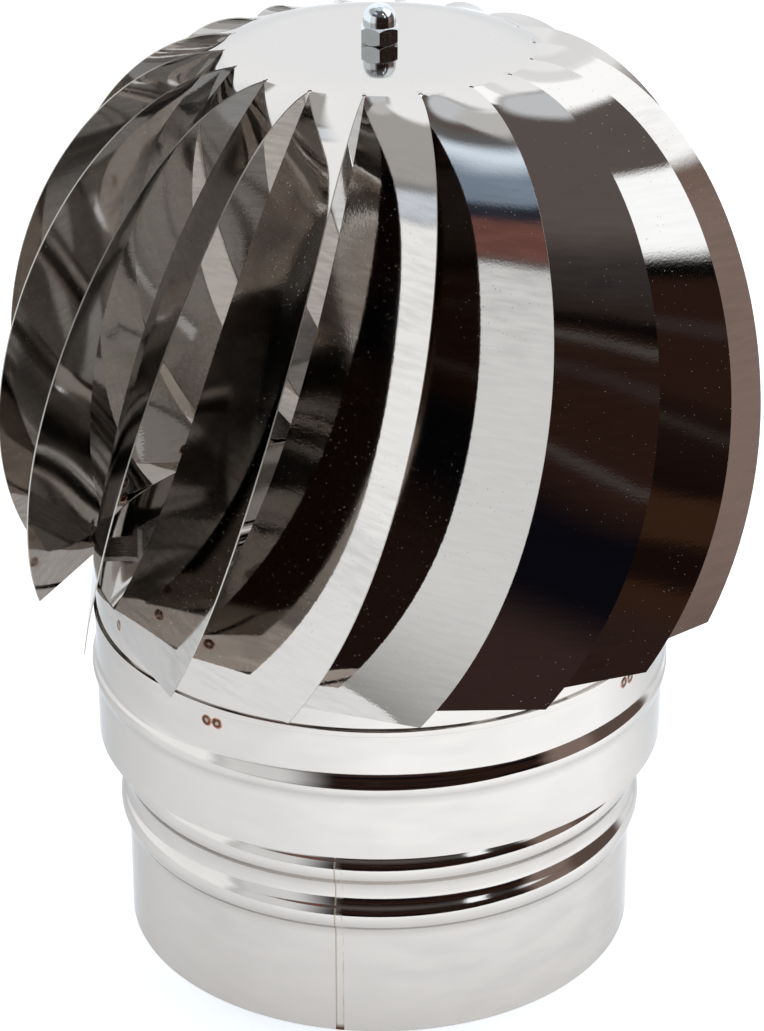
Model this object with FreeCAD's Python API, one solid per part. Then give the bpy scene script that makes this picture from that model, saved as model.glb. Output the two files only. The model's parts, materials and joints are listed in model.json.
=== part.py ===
import FreeCAD, Part
import math
import os

from FreeCAD import Vector

# Rotating chimney cowl for a 200 mm flue, in millimetres.
# +Z is up, the origin is the centre of the pipe's lower edge, and -Y is the front.
# The fixed part is the flue pipe with the bearing housing on its two carriers.
# The turning part is the bladed head with its collar, cross and shaft.

# Sheet and fits
sheet = 0.5                # stainless sheet of head, collar, hoop and pipe
plate = 2.0                # strip of the cross and the carriers
weld_gap = 0.05            # left between sheets that are spot-welded together
slip = 0.02                # radial gap of seats that are pressed or slid together
bolt_gap = 0.2             # radial gap of plain holes round the shaft

# Flue pipe
pipe_radius = 100.0
pipe_height = 114.0
pipe_bead_drops = (62.2, 41.9)   # below the pipe's top
pipe_bead_rise = 3.1
pipe_bead_bend = 7.5       # radius of a bead's crown
bead_foot = 9.0            # radius where a bead leaves the wall

# Collar (rain skirt) of the head
rain_gap = 6.9             # between the pipe's beads and the collar
skirt_lap = 30.7           # how far the collar hangs below the pipe's top
skirt_height = 54.0
skirt_bead_height = 29.6   # above the collar's lower edge
skirt_bead_rise = 1.75
skirt_bead_bend = 5.8
hem_height = 2.6
hoop_lap = 16.0            # hoop inside the collar
hoop_rise = 16.0           # hoop above the collar

# Bladed head, bent from one slit disc
blade_count = 18
blade_turn = 4.6           # azimuth of the first blade's root, from the front
disc_flat_radius = 42.0
disc_drop = 1.8            # slits' ends below the flat middle
slit_radius = 56.0         # where the slits end
slit_width = 0.5
relief_radius = 0.8        # small hole at each slit's end
globe_radius = 143.2       # outer blade edges at their widest
globe_fullness = 1.92      # 2 is a plain ellipse, more is fuller at the shoulder
globe_rise = 220.5         # top disc above the collar
equator_rise = 76.9        # widest place above the collar
tip_rise = 14.2            # outer lower corner of a blade above the collar
corner_rise = 7.3          # inner lower corner of a blade above the collar
inner_fall = 3.7           # power by which the inner edges fall from the disc and turn plumb
tip_sweep = 28.2           # degrees that the outer edge trails at its lower end
outer_late = 0.24          # share of the trail that comes late, outer edge
outer_late_power = 7.0
inner_late = 0.5           # the same, inner edge
inner_late_power = 4.0
root_blend = 0.12          # share of the blade that turns from ring to straight
blade_rows = 17
row_crowding = 1.5         # above 1 the rows crowd towards the root
blade_columns = 5
join_tolerance = 0.001     # between the disc's rim and the blades' roots

# Shaft and its fasteners (M8)
shaft_radius = 4.0
shaft_tail = 2.0           # shaft below the lock nut
nut_flats = 13.0
nut_height = 6.5
nut_face_radius = 6.3      # flat ring at each end of a nut
nut_chamfer = 1.0          # height lost at the corners, also the shaft's end chamfers
lock_nut_height = 8.0
cap_hex_height = 6.4
cap_dome_radius = 6.0
cap_height = 14.2
cap_thread_depth = 9.0
disc_washer_radius = 12.0
washer_radius = 8.0
washer_thickness = 1.6
race_washer_radius = 5.8   # bears on an inner ring only
race_washer_thickness = 1.5

# Cross that ties the collar to the shaft
arm_turn = -33.5           # azimuth of the first arm, from the front
arm_count = 4
arm_width = 18.0
tab_height = 13.0
cross_hub_radius = 19.0
cross_clearance = 8.0      # cross above the pipe's top

# Bearings (8 x 22 x 7) and their housing
bearing_radius = 11.0
bearing_width = 7.0
inner_land_radius = 6.05
outer_land_radius = 8.95
ball_count = 7
ball_radius = 1.985
ball_circle = 7.5
ball_gap = 0.05
cage_inner = 6.9
cage_outer = 8.1
cage_back = 2.7
cage_front = 0.9
shield_inner = 6.4
shield_thickness = 0.35
shield_inset = 0.15
housing_wall = 3.0
housing_drop = 7.0         # housing's top below the pipe's top
bearing_distance = 35.7    # between the two bearings' lower faces
sleeve_radius = 5.6
clip_thickness = 1.1
clip_bite = 0.6
clip_reach = 1.8
clip_eye = 1.3
clip_opening = 40.0        # degrees left out of the ring
mouth = 0.9                # housing beyond each circlip

# Carriers
carrier_arm_width = 20.0
carrier_hub_radius = 22.0
upper_carrier_drop = 20.0  # below the pipe's top
upper_tab_height = 13.0    # the lower carrier's arms end flat, between the pipe's beads

# Derived heights, stacked up from the pipe
pipe_bead_heights = [pipe_height - drop for drop in pipe_bead_drops]
bead_valley = sum(pipe_bead_heights) / len(pipe_bead_heights)
skirt_bottom = pipe_height - skirt_lap
skirt_top = skirt_bottom + skirt_height
disc_top = skirt_top + globe_rise
disc_under = disc_top - sheet
rim_rise = globe_rise - disc_drop
cross_bottom = pipe_height + cross_clearance
cross_top = cross_bottom + plate
housing_top = pipe_height - housing_drop
upper_bearing = housing_top - mouth - clip_thickness - bearing_width
lower_bearing = upper_bearing - bearing_distance
housing_bottom = lower_bearing - clip_thickness - mouth
lock_nut_bottom = lower_bearing - race_washer_thickness - lock_nut_height
shaft_bottom = lock_nut_bottom - shaft_tail

# Derived radii, from the pipe out to the blades
skirt_radius = pipe_radius + pipe_bead_rise + rain_gap + sheet
hoop_radius = skirt_radius - sheet - weld_gap
inner_edge_radius = hoop_radius + weld_gap + sheet / 2
housing_radius = bearing_radius + slip + housing_wall
blade_pitch = 360.0 / blade_count
globe_reach = globe_radius - slit_radius
globe_crown = rim_rise - equator_rise

UP = Vector(0, 0, 1)
AXIS_BASE = Vector(0, 0, 0)


def write(name, shape):
    """Write one piece to its own file."""
    os.makedirs("parts", exist_ok=True)
    shape.exportStep(os.path.join("parts", name + ".step"))


def at_azimuth(radius, azimuth, height):
    """Point at a radius and height; azimuth counts from the front towards +X."""
    angle = math.radians(azimuth - 90.0)
    return Vector(radius * math.cos(angle), radius * math.sin(angle), height)


def turned(shape, azimuth):
    """Copy of a shape turned about the axis."""
    copy = shape.copy()
    copy.rotate(AXIS_BASE, UP, azimuth)
    return copy


def tube(outer, inner, bottom, height):
    """Plain ring about the axis."""
    body = Part.makeCylinder(outer, height, Vector(0, 0, bottom))
    hole = Part.makeCylinder(inner, height, Vector(0, 0, bottom))
    return body.cut(hole)


def spun(edges):
    """Solid of revolution from edges in the XZ plane."""
    face = Part.Face(Part.Wire(edges))
    return face.revolve(AXIS_BASE, UP, 360)


def line(start, end):
    """Edge between two (radius, height) points."""
    return Part.makeLine(Vector(start[0], 0, start[1]), Vector(end[0], 0, end[1]))


def arc(start, middle, end):
    """Round edge through three (radius, height) points."""
    points = [Vector(p[0], 0, p[1]) for p in (start, middle, end)]
    return Part.Arc(*points).toShape()


def bead(wall, height, bend, foot, rise):
    """Edges of a round bead standing out of a wall line, going up, with rounded feet."""
    sink = bend + foot - rise
    half = math.sqrt((bend + foot) ** 2 - sink ** 2)
    lean = math.atan2(half, sink)
    foot_points = []
    for angle in (0.0, lean / 2, lean):
        radius = wall + foot - foot * math.cos(angle)
        foot_points.append((radius, half - foot * math.sin(angle)))
    low = [(radius, height - rest) for radius, rest in foot_points]
    high = [(radius, height + rest) for radius, rest in reversed(foot_points)]
    return [arc(*low), arc(low[2], (wall + rise, height), high[0]), arc(*high)]


def wall_path(radius, bottom, top, beads, bend, foot, rise):
    """Wall line going up, with a bead at each height."""
    edges = []
    last = Vector(radius, 0, bottom)
    for height in beads:
        bulge = bead(radius, height, bend, foot, rise)
        start = bulge[0].firstVertex(True).Point
        edges.append(Part.makeLine(last, start))
        edges.extend(bulge)
        last = bulge[-1].lastVertex(True).Point
    edges.append(Part.makeLine(last, Vector(radius, 0, top)))
    return edges


def beaded_tube(radius, bottom, top, beads, bend, rise):
    """Rolled sheet tube of even thickness with rounded beads pressed outwards."""
    inside = radius - sheet
    outer_path = wall_path(radius, bottom, top, beads, bend, bead_foot, rise)
    inner_path = wall_path(inside, bottom, top, beads, bend - sheet, bead_foot + sheet, rise)
    ends = [line((radius, top), (inside, top)), line((radius, bottom), (inside, bottom))]
    return spun(Part.sortEdges(outer_path + inner_path + ends)[0])


def hexagon(flats, height, bottom):
    """Hexagonal bar with its corners chamfered at both ends."""
    corner = flats / math.sqrt(3)
    points = [at_azimuth(corner, 60 * k, bottom) for k in range(7)]
    bar = Part.Face(Part.makePolygon(points)).extrude(Vector(0, 0, height))
    top = bottom + height
    turned_profile = [
        line((0, bottom), (nut_face_radius, bottom)),
        line((nut_face_radius, bottom), (corner, bottom + nut_chamfer)),
        line((corner, bottom + nut_chamfer), (corner, top - nut_chamfer)),
        line((corner, top - nut_chamfer), (nut_face_radius, top)),
        line((nut_face_radius, top), (0, top)),
        line((0, top), (0, bottom)),
    ]
    return bar.common(spun(turned_profile))


def nut(height, bottom):
    """Plain hexagon nut round the shaft."""
    bore = Part.makeCylinder(shaft_radius + slip, height, Vector(0, 0, bottom))
    return hexagon(nut_flats, height, bottom).cut(bore)


def washer(radius, thickness, bottom):
    """Flat washer round the shaft."""
    return tube(radius, shaft_radius + bolt_gap, bottom, thickness)


def flue_pipe():
    return beaded_tube(
        pipe_radius, 0.0, pipe_height, pipe_bead_heights, pipe_bead_bend, pipe_bead_rise)


def skirt():
    beads = (skirt_bottom + skirt_bead_height,)
    wall = beaded_tube(
        skirt_radius, skirt_bottom, skirt_top, beads, skirt_bead_bend, skirt_bead_rise)
    hem = tube(skirt_radius + sheet, skirt_radius - sheet, skirt_top - hem_height, hem_height)
    rim = [e for e in hem.Edges if abs(e.BoundBox.XMax - skirt_radius - sheet) < weld_gap]
    rim = [e for e in rim if e.BoundBox.ZLength < weld_gap]
    return wall.fuse(hem.makeFillet(sheet / 2, rim)).removeSplitter()


def blade_ring():
    bottom = skirt_top - hoop_lap
    return tube(hoop_radius, hoop_radius - sheet, bottom, hoop_lap + hoop_rise)


def eased(share, late, power):
    """Even progress with a part of it coming late."""
    return (1 - late) * share + late * share ** power


def tip_reach():
    """Distance of the blades' tips from the slit circle, seen from above."""
    tip_share = (abs(tip_rise - equator_rise) / globe_crown) ** globe_fullness
    return globe_reach * (1 - tip_share) ** (1 / globe_fullness)


def corner_sweep():
    """Trail of the inner edge, so that a blade's lower edge leaves the hoop along its tangent."""
    tangent = math.acos(inner_edge_radius / (slit_radius + tip_reach()))
    return tip_sweep + math.degrees(tangent) - 2 * root_half_angle()


def outer_edge(share):
    """Radius, azimuth and height above the collar along a blade's outer edge, slit end to tip."""
    start = math.pi / 2
    end = math.atan2(tip_rise - equator_rise, tip_reach())
    angle = start + (end - start) * share
    flat_part = abs(math.cos(angle) / globe_reach) ** globe_fullness
    steep_part = abs(math.sin(angle) / globe_crown) ** globe_fullness
    distance = (flat_part + steep_part) ** (-1 / globe_fullness)
    azimuth = root_half_angle() - tip_sweep * eased(share, outer_late, outer_late_power)
    radius = slit_radius + distance * math.cos(angle)
    return radius, azimuth, equator_rise + distance * math.sin(angle)


def inner_edge(share):
    """The same along a blade's inner edge: steep at the slit, then plumb."""
    inset = (inner_edge_radius - slit_radius) * (1 - share) ** inner_fall
    azimuth = -root_half_angle() - corner_sweep() * eased(share, inner_late, inner_late_power)
    return inner_edge_radius - inset, azimuth, rim_rise - (rim_rise - corner_rise) * share


def root_half_angle():
    """Half of a blade's root, in degrees, less half a slit."""
    return blade_pitch / 2 - math.degrees(slit_width / 2 / slit_radius)


def smooth(share):
    """Soft step from 0 to 1."""
    share = min(max(share, 0.0), 1.0)
    return share * share * (3 - 2 * share)


def blade_point(share, across):
    """Middle of the sheet: share runs down the blade, across from inner to outer edge."""
    inner = inner_edge(share)
    outer = outer_edge(share)
    straight = at_azimuth(*inner) * (1 - across) + at_azimuth(*outer) * across
    mixed = [a * (1 - across) + b * across for a, b in zip(inner, outer)]
    blend = smooth(share / root_blend)
    point = at_azimuth(*mixed) * (1 - blend) + straight * blend
    return point - UP * (sheet / 2)


def blade_normal(share, across):
    """Direction across the sheet, plumb at the root so that it meets the disc."""
    step = 1.0 / (blade_rows * blade_columns)
    low = max(share - step, 0.0)
    high = min(share + step, 1.0)
    down = blade_point(high, across) - blade_point(low, across)
    side = blade_point(share, 1.0) - blade_point(share, 0.0)
    normal = side.cross(down)
    if normal.dot(blade_point(share, across)) < 0:
        normal = normal * -1
    normal.normalize()
    blend = smooth(share / root_blend)
    mixed = UP * (1 - blend) + normal * blend
    mixed.normalize()
    return mixed


def blade_skin(side):
    """One face of a blade, half a sheet from its middle."""
    grid = []
    for row in range(blade_rows):
        share = (row / (blade_rows - 1)) ** row_crowding
        points = []
        for column in range(blade_columns):
            across = column / (blade_columns - 1)
            offset = blade_normal(share, across) * (side * sheet / 2)
            points.append(blade_point(share, across) + offset)
        grid.append(points)
    surface = Part.BSplineSurface()
    surface.interpolate(grid)
    return surface.toShape()


def matching_edge(face, middle):
    """Edge of a face that passes nearest to a point."""
    vertex = Part.Vertex(middle)
    return min(face.Edges, key=lambda edge: edge.distToShape(vertex)[0])


def blade():
    """One twisted blade with its root on the slit circle, facing the front."""
    outside = blade_skin(1)
    inside = blade_skin(-1)
    faces = [outside, inside]
    for share, across in ((0.5, 0.0), (0.5, 1.0), (0.0, 0.5), (1.0, 0.5)):
        middle = blade_point(share, across)
        first = matching_edge(outside, middle)
        second = matching_edge(inside, middle)
        faces.append(Part.makeRuledSurface(first, second))
    return Part.Solid(Part.makeShell(faces))


def rotor_head():
    """Flat disc with a rounded border, and the blades bent down from it."""
    border = slit_radius - disc_flat_radius
    bend = (border ** 2 + disc_drop ** 2) / (2 * disc_drop)
    half_height = globe_rise - bend + math.sqrt(bend ** 2 - (border / 2) ** 2)
    half_way = (disc_flat_radius + border / 2, half_height)
    hole = shaft_radius + bolt_gap
    top = [(disc_flat_radius, globe_rise), half_way, (slit_radius, rim_rise)]
    under = [(radius, height - sheet) for radius, height in top]
    profile = [
        line((hole, globe_rise), top[0]),
        arc(*top),
        line(top[2], under[2]),
        arc(*under),
        line(under[0], (hole, globe_rise - sheet)),
        line((hole, globe_rise - sheet), (hole, globe_rise)),
    ]
    one = blade()
    blades = []
    reliefs = []
    for k in range(blade_count):
        azimuth = blade_turn + k * blade_pitch
        blades.append(turned(one, azimuth))
        spot = at_azimuth(slit_radius, azimuth + blade_pitch / 2, rim_rise - plate)
        reliefs.append(Part.makeCylinder(relief_radius, 2 * plate, spot))
    head = spun(profile).fuse(blades, join_tolerance).cut(reliefs)
    return head.translated(UP * skirt_top)


def shaft():
    top = disc_top + cap_thread_depth - bolt_gap
    bar = Part.makeCylinder(shaft_radius, top - shaft_bottom, Vector(0, 0, shaft_bottom))
    ends = [e for e in bar.Edges if e.BoundBox.ZLength < slip]
    return bar.makeChamfer(nut_chamfer, ends)


def dome_nut():
    shoulder = disc_top + cap_hex_height
    top = disc_top + cap_height
    spring = top - cap_dome_radius
    rim = cap_dome_radius * math.cos(math.pi / 4)
    profile = [
        line((0, shoulder), (cap_dome_radius, shoulder)),
        line((cap_dome_radius, shoulder), (cap_dome_radius, spring)),
        arc((cap_dome_radius, spring), (rim, spring + rim), (0, top)),
        line((0, top), (0, shoulder)),
    ]
    body = hexagon(nut_flats, cap_hex_height, disc_top).fuse(spun(profile))
    bore = Part.makeCylinder(shaft_radius + slip, cap_thread_depth, Vector(0, 0, disc_top))
    return body.cut(bore).removeSplitter()


def armed_plate(hub, hole, reach, width, bottom, tab, count, azimuth):
    """Plate with arms whose ends are bent up against a round wall."""
    rim = tube(reach, reach - plate, bottom, plate + tab)
    disc = Part.makeCylinder(hub, plate, Vector(0, 0, bottom))
    solid = disc
    for k in range(count):
        corner = Vector(-width / 2, -reach, bottom)
        bar = Part.makeBox(width, reach, plate, corner)
        bar = bar.common(Part.makeCylinder(reach, plate, Vector(0, 0, bottom)))
        end = rim.common(Part.makeBox(width, reach, plate + tab, corner))
        solid = solid.fuse(turned(bar.fuse(end), azimuth + k * 360.0 / count))
    solid = solid.cut(Part.makeCylinder(hole, plate, Vector(0, 0, bottom)))
    return solid.removeSplitter()


def rotor_cross():
    reach = hoop_radius - sheet - weld_gap
    hole = shaft_radius + bolt_gap
    return armed_plate(
        cross_hub_radius, hole, reach, arm_width, cross_bottom, tab_height, arm_count, arm_turn)


def carrier(bottom, tab):
    """Plate that holds the housing in the pipe."""
    reach = pipe_radius - sheet - weld_gap
    hole = housing_radius + slip
    return armed_plate(
        carrier_hub_radius, hole, reach, carrier_arm_width, bottom, tab, arm_count, arm_turn)


def bearing_housing():
    barrel = Part.makeCylinder(
        housing_radius, housing_top - housing_bottom, Vector(0, 0, housing_bottom))
    seat = bearing_radius + slip
    depth = mouth + clip_thickness + bearing_width
    groove = seat + clip_bite
    cuts = [
        Part.makeCylinder(outer_land_radius, bearing_distance, Vector(0, 0, lower_bearing)),
        Part.makeCylinder(seat, depth, Vector(0, 0, housing_bottom)),
        Part.makeCylinder(seat, depth, Vector(0, 0, upper_bearing)),
        Part.makeCylinder(groove, clip_thickness, Vector(0, 0, housing_bottom + mouth)),
        Part.makeCylinder(groove, clip_thickness, Vector(0, 0, upper_bearing + bearing_width)),
    ]
    return barrel.cut(cuts)


def circlip(bottom):
    """Sprung ring in a groove of the housing, with an opening and two eyes."""
    outside = bearing_radius + clip_bite
    ring = tube(outside, outside - clip_reach, bottom, clip_thickness)
    span = outside * math.sin(math.radians(clip_opening / 2))
    gap = Part.makeBox(2 * span, outside, clip_thickness, Vector(-span, -outside, bottom))
    ring = ring.cut(gap)
    for side in (-1, 1):
        middle = at_azimuth(outside - clip_reach, side * clip_opening, bottom)
        eye = Part.makeCylinder(clip_eye, clip_thickness, middle)
        hole = Part.makeCylinder(clip_eye / 2, clip_thickness, middle)
        inside = Part.makeCylinder(bearing_radius, clip_thickness, Vector(0, 0, bottom))
        ring = ring.fuse(eye.common(inside)).cut(hole)
    return ring.removeSplitter()


def ball_track(bottom):
    """Torus that both rings are grooved by."""
    middle = Vector(0, 0, bottom + bearing_width / 2)
    return Part.makeTorus(ball_circle, ball_radius + ball_gap, middle, UP)


def inner_ring(bottom):
    ring = tube(inner_land_radius, shaft_radius + slip, bottom, bearing_width)
    return ring.cut(ball_track(bottom))


def outer_ring(bottom):
    ring = tube(bearing_radius, outer_land_radius, bottom, bearing_width)
    return ring.cut(ball_track(bottom))


def shields(bottom):
    """Two thin covers held by the outer ring."""
    outside = outer_land_radius - slip
    low = tube(outside, shield_inner, bottom + shield_inset, shield_thickness)
    top = bottom + bearing_width - shield_inset - shield_thickness
    high = tube(outside, shield_inner, top, shield_thickness)
    return Part.makeCompound([low, high])


def ball_set(bottom, radius):
    """Balls of one radius on the ball circle."""
    middle = bottom + bearing_width / 2
    spots = [at_azimuth(ball_circle, k * 360.0 / ball_count, middle) for k in range(ball_count)]
    return [Part.makeSphere(radius, spot) for spot in spots]


def balls(bottom):
    return Part.makeCompound(ball_set(bottom, ball_radius))


def cage(bottom):
    """Crown-shaped ball cage, open on its upper side."""
    low = bottom + bearing_width / 2 - cage_back
    ring = tube(cage_outer, cage_inner, low, cage_back + cage_front)
    return ring.cut(ball_set(bottom, ball_radius + ball_gap))


write("flue_pipe", flue_pipe())
write("skirt", skirt())
write("blade_ring", blade_ring())
write("rotor_head", rotor_head())
write("shaft", shaft())
write("dome_nut", dome_nut())
write("disc_washer", washer(disc_washer_radius, washer_thickness, disc_under - washer_thickness))
write("disc_nut", nut(nut_height, disc_under - washer_thickness - nut_height))
write("rotor_cross", rotor_cross())
write("cross_washers", Part.makeCompound([
    washer(washer_radius, washer_thickness, cross_bottom - washer_thickness),
    washer(washer_radius, washer_thickness, cross_top)]))
write("cross_nuts", Part.makeCompound([
    nut(nut_height, cross_bottom - washer_thickness - nut_height),
    nut(nut_height, cross_top + washer_thickness)]))
stop_height = upper_bearing + bearing_width
write("stop_washer", washer(race_washer_radius, race_washer_thickness, stop_height))
write("stop_nut", nut(nut_height, stop_height + race_washer_thickness))
write("lock_washer", washer(
    race_washer_radius, race_washer_thickness, lower_bearing - race_washer_thickness))
write("lock_nut", nut(lock_nut_height, lock_nut_bottom))
sleeve_bottom = lower_bearing + bearing_width
write("spacer_sleeve", washer(sleeve_radius, upper_bearing - sleeve_bottom, sleeve_bottom))
write("bearing_housing", bearing_housing())
write("upper_carrier", carrier(pipe_height - upper_carrier_drop, upper_tab_height))
write("lower_carrier", carrier(bead_valley - plate / 2, 0.0))
write("circlips", Part.makeCompound([
    circlip(housing_bottom + mouth),
    circlip(upper_bearing + bearing_width)]))
for place, bottom in (("upper", upper_bearing), ("lower", lower_bearing)):
    write(place + "_inner_ring", inner_ring(bottom))
    write(place + "_outer_ring", outer_ring(bottom))
    write(place + "_shields", shields(bottom))
    write(place + "_cage", cage(bottom))
    write(place + "_balls", balls(bottom))
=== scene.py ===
import json
import math

import bpy
from mathutils import Matrix, Vector, noise


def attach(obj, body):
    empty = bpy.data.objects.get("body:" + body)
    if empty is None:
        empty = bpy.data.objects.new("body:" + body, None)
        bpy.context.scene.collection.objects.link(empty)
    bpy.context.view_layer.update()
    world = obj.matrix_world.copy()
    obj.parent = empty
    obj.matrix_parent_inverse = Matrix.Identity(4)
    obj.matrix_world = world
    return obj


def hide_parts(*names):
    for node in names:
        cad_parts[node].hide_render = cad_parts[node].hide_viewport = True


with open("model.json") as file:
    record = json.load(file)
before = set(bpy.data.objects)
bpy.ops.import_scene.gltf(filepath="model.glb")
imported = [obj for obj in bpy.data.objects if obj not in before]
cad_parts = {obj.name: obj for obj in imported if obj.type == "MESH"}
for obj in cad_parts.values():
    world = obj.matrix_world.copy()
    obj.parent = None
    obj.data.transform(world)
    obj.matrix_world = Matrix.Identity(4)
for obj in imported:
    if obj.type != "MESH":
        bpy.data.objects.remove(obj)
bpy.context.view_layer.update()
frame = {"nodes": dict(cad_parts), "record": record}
nodes = frame["nodes"]

# Sizes repeat the solids' own, in millimetres; meshes are made in metres.
MM = 0.001
SHEET = 0.5
PIPE_RADIUS = 100.0
PIPE_HEIGHT = 114.0
PIPE_BEADS = (51.8, 72.1)
PIPE_BEAD_RISE = 3.1
PIPE_BEAD_BEND = 7.5
BEAD_FOOT = 9.0
SKIRT_RADIUS = 110.5
SKIRT_BOTTOM = 83.3
SKIRT_TOP = 137.3
SKIRT_BEAD = 112.9
SKIRT_BEAD_RISE = 1.75
SKIRT_BEAD_BEND = 5.8
HEM_HEIGHT = 2.6
HOOP_RADIUS = 109.95
HOOP_BOTTOM = 121.3
HOOP_TOP = 153.3
EDGE_ROUND = 0.12
ROUND_STEPS = 224
FILLET_STEPS = 12
CROWN_STEPS = 18
FOLD_STEPS = 5
# Angles between faces, in degrees, past which an edge is sharp
SHEET_SHARP = 32.0
SEAM_SHARP = 40.0
SPOT_SHARP = 60.0
SOLID_SHARP = 30.0

# Bladed head
BLADE_COUNT = 18
BLADE_TURN = 4.6
DISC_HOLE = 4.2
DISC_FLAT = 42.0
DISC_DROP = 1.8
SLIT_RADIUS = 56.0
SLIT_WIDTH = 0.5
RELIEF_RADIUS = 0.8
DISC_TOP = 357.8
GLOBE_RADIUS = 143.2
FULLNESS = 1.92
EQUATOR = 214.2
TIP_HEIGHT = 151.5
CORNER_HEIGHT = 144.6
INNER_RADIUS = 110.25
INNER_FALL = 3.7
TIP_SWEEP = 28.2
OUTER_LATE = 0.24
OUTER_LATE_POWER = 7.0
INNER_LATE = 0.5
INNER_LATE_POWER = 4.0
ROOT_BLEND = 0.12
BLADE_ROWS = 72
ROW_SPACING = 1.3
BLADE_COLUMNS = 14
RIPPLE_HEIGHT = 0.10
# Waves of the ripple along and across a blade, and the step to the next blade's ripple
RIPPLE_ALONG, RIPPLE_ACROSS, RIPPLE_STEP = 5.5, 1.3, 3.7
# Grid: rings on the flat disc, steps over its border, rings round a slit's end, first rows of a blade
DISC_RINGS = (8.0, 16.0, 24.0, 32.0, 38.0, 41.0)
BORDER_STEPS = 12
EYE_SHARES = (1.0, 0.92, 0.7, 0.38, 0.0)
ROOT_SHARES = (0.0008, 0.0016, 0.0022, 0.0026, 0.004, 0.007)

PITCH = 360.0 / BLADE_COUNT
RIM_HEIGHT = DISC_TOP - DISC_DROP
REACH = GLOBE_RADIUS - SLIT_RADIUS
CROWN = RIM_HEIGHT - EQUATOR
ROOT_HALF = PITCH / 2 - math.degrees(SLIT_WIDTH / 2 / SLIT_RADIUS)
TIP_REACH = REACH * (1 - (abs(TIP_HEIGHT - EQUATOR) / CROWN) ** FULLNESS) ** (1 / FULLNESS)
HOOP_TANGENT = math.degrees(math.acos(INNER_RADIUS / (SLIT_RADIUS + TIP_REACH)))
CORNER_SWEEP = TIP_SWEEP + HOOP_TANGENT - 2 * ROOT_HALF
UP = Vector((0, 0, 1))


def at_azimuth(radius, azimuth, height):
    """Point in millimetres; azimuth counts from the front towards +X."""
    angle = math.radians(azimuth)
    return Vector((radius * math.sin(angle), -radius * math.cos(angle), height))


# Meshes
class MeshBuilder:
    """Collects quads whose equal corners are shared."""

    def __init__(self):
        self.corners = {}
        self.points = []
        self.faces = []
        self.tones = []

    def index(self, point):
        key = tuple(round(value, 4) for value in point)
        if key not in self.corners:
            self.corners[key] = len(self.points)
            self.points.append(point * MM)
        return self.corners[key]

    def face(self, *points, tone=0):
        ring = []
        for point in points:
            corner = self.index(point)
            if corner not in ring:
                ring.append(corner)
        if len(ring) > 2:
            self.faces.append(ring)
            self.tones.append(tone)

    def sheet(self, grid, flip=False, tone=0):
        """Quads over a grid of points; tone is the number of their material."""
        for first, second in zip(grid, grid[1:]):
            for k in range(len(first) - 1):
                quad = (first[k], second[k], second[k + 1], first[k + 1])
                self.face(*(reversed(quad) if flip else quad), tone=tone)

    def piece(self, name, sharp_angle=SHEET_SHARP):
        mesh = bpy.data.meshes.new(name)
        mesh.from_pydata(self.points, [], self.faces)
        mesh.polygons.foreach_set("material_index", self.tones)
        mesh.validate()
        for polygon in mesh.polygons:
            polygon.use_smooth = True
        mesh.set_sharp_from_angle(angle=math.radians(sharp_angle))
        piece = bpy.data.objects.new(name, mesh)
        bpy.context.scene.collection.objects.link(piece)
        return piece


def lathe(name, profile):
    """Closed ring of a closed (radius, height) profile, listed going up on the outside."""
    builder = MeshBuilder()
    loop = profile + profile[:1]
    grid = []
    for step in range(ROUND_STEPS + 1):
        azimuth = 360.0 * (step % ROUND_STEPS) / ROUND_STEPS
        grid.append([at_azimuth(radius, azimuth, height) for radius, height in loop])
    builder.sheet(grid)
    return builder.piece(name)


def finish_piece(piece, material, body, slot, *replaced):
    """Give a piece its material and its body, and hide the solids that it stands for. The slot is not used.
    """
    piece.data.materials.append(material)
    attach(piece, body)
    if replaced:
        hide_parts(*replaced)


# Rolled sheet: pipe, collar and hoop
def arc_points(centre, radius, start, end, count):
    """Points on a circle in the (radius, height) plane; angles in radians."""
    points = []
    for step in range(count + 1):
        angle = start + (end - start) * step / count
        points.append((centre[0] + radius * math.cos(angle), centre[1] + radius * math.sin(angle)))
    return points


def bead_points(wall, height, bend, offset, fillet):
    """Round bead standing out of a wall, with a fillet at each foot, going up."""
    crown_centre = (wall - offset, height)
    rise = math.sqrt((bend + fillet) ** 2 - (offset + fillet) ** 2)
    lean = math.atan2(rise, offset + fillet)
    low_foot = (wall + fillet, height - rise)
    high_foot = (wall + fillet, height + rise)
    points = arc_points(low_foot, fillet, math.pi, math.pi - lean, FILLET_STEPS)
    points += arc_points(crown_centre, bend, -lean, lean, CROWN_STEPS)
    points += arc_points(high_foot, fillet, math.pi + lean, math.pi, FILLET_STEPS)
    return points


def wall_points(radius, bottom, top, beads, bend, rise, depth):
    """Wall line going up with its beads; depth is how far it lies inside the outer face."""
    points = [(radius - depth, bottom + EDGE_ROUND)]
    for height in beads:
        points += bead_points(
            radius - depth, height, bend - depth, bend - rise - depth, BEAD_FOOT + depth)
    points.append((radius - depth, top - EDGE_ROUND))
    return points


def rolled_profile(radius, bottom, top, beads=(), bend=0.0, rise=0.0):
    """Closed section of a rolled wall, with rounded edges."""
    outside = wall_points(radius, bottom, top, beads, bend, rise, 0.0)
    inside = wall_points(radius, bottom, top, beads, bend, rise, SHEET)
    low_edge = [(radius - SHEET + EDGE_ROUND, bottom), (radius - EDGE_ROUND, bottom)]
    high_edge = [(radius - EDGE_ROUND, top), (radius - SHEET + EDGE_ROUND, top)]
    return low_edge + outside + high_edge + inside[::-1]


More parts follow.
